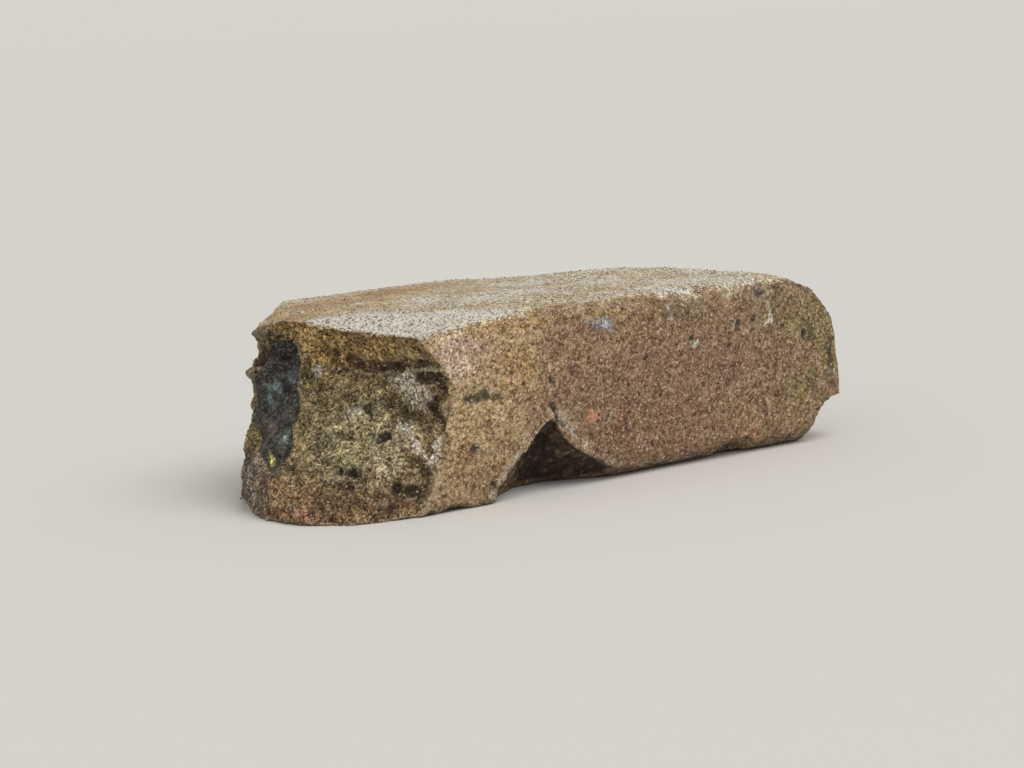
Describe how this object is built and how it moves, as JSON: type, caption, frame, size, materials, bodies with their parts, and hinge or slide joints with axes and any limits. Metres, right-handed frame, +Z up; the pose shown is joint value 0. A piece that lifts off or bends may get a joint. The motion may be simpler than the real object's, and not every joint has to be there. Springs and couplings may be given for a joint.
{
  "type": "clay brick",
  "caption": "Solid fired-clay building brick, worn and weathered, with one broken end, rounded arrises and a chip in a lower edge",
  "frame": {"origin": "centre of the bounding box in X and Y, on the flat bed face it rests on", "axes": "+X along the length towards the whole end, the broken end at -X; +Z up, through the thickness; the chipped long side faces -Y"},
  "size_m": [0.196, 0.096, 0.0535],
  "materials": {
    "fired_clay": "weathered sandy fired clay, damp on top"
  },
  "bodies": {
    "root": {"clay_brick": "fired_clay"}
  },
  "joints": []
}
